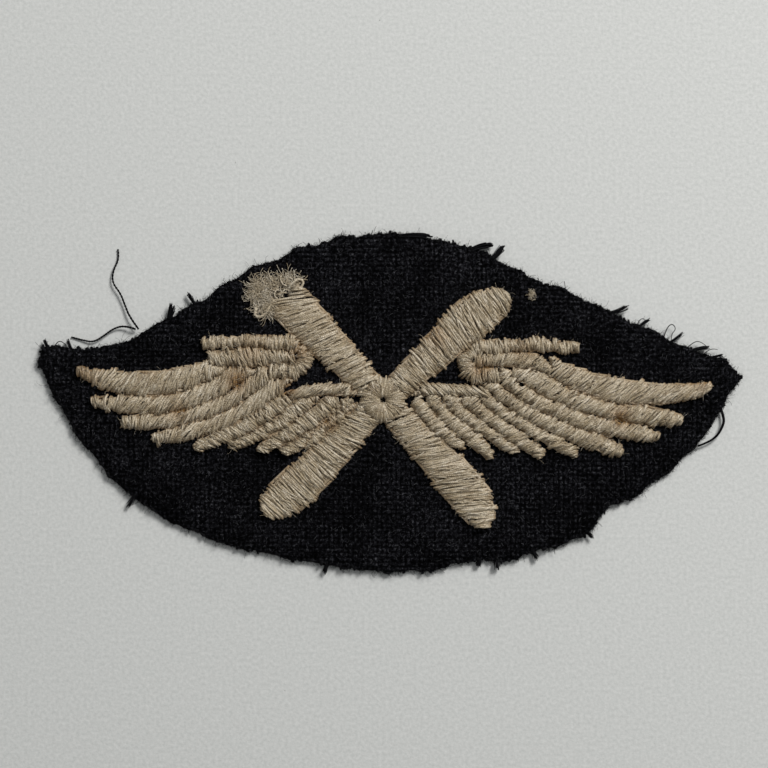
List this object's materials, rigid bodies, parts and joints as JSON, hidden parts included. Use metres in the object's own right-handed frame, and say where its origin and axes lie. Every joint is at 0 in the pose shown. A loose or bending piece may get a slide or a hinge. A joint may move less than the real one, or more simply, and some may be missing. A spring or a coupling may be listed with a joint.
{
  "type": "embroidered pilot wings cloth badge",
  "caption": "Hand-cut dark wool cloth badge with a four-blade propeller between two spread wings in padded cream satin stitch, stiffened with gauze and sewn on flat.",
  "frame": {"origin": "middle of the cloth's bounding box, on the plane that the back of the badge lies on", "axes": "+Z out of the embroidered face, +X towards the wing on the viewer's right, +Y up the badge"},
  "size_m": [0.0916, 0.0444, 0.0022],
  "materials": {
    "satin_thread": "cream mercerised cotton thread in satin stitch, aged and slightly stained",
    "padding_thread": "soft cream cotton padding threads",
    "back_thread": "cream cotton thread",
    "wool_cloth": "blue-black plain-woven wool, slightly napped",
    "wool_strand": "blue-black wool yarn",
    "cotton_gauze": "unbleached open-weave cotton gauze, sized stiff"
  },
  "bodies": {
    "root": {"frayed_strands": "wool_strand", "hub_padding": "padding_thread", "hub_ring": "satin_thread", "left_bone": "satin_thread", "left_covert": "satin_thread", "left_primary_1": "satin_thread", "left_primary_2": "satin_thread", "left_primary_3": "satin_thread", "left_primary_4": "satin_thread", "left_scroll": "satin_thread", "left_secondary_1": "satin_thread", "left_secondary_2": "satin_thread", "left_secondary_3": "satin_thread", "left_secondary_4": "satin_thread", "left_secondary_5": "satin_thread", "left_wing_back_threads": "back_thread", "left_wing_padding": "padding_thread", "lower_left_blade": "satin_thread", "lower_left_blade_padding": "padding_thread", "lower_right_blade": "satin_thread", "lower_right_blade_padding": "padding_thread", "propeller_back_threads": "back_thread", "right_bone": "satin_thread", "right_covert": "satin_thread", "right_primary_1": "satin_thread", "right_primary_2": "satin_thread", "right_primary_3": "satin_thread", "right_primary_4": "satin_thread", "right_scroll": "satin_thread", "right_secondary_1": "satin_thread", "right_secondary_2": "satin_thread", "right_secondary_3": "satin_thread", "right_secondary_4": "satin_thread", "right_secondary_5": "satin_thread", "right_wing_back_threads": "back_thread", "right_wing_padding": "padding_thread", "stiffening_gauze": "cotton_gauze", "thread_passes": "back_thread", "upper_left_blade": "satin_thread", "upper_left_blade_padding": "padding_thread", "upper_right_blade": "satin_thread", "upper_right_blade_padding": "padding_thread", "wool_cloth": "wool_cloth"}
  },
  "joints": []
}
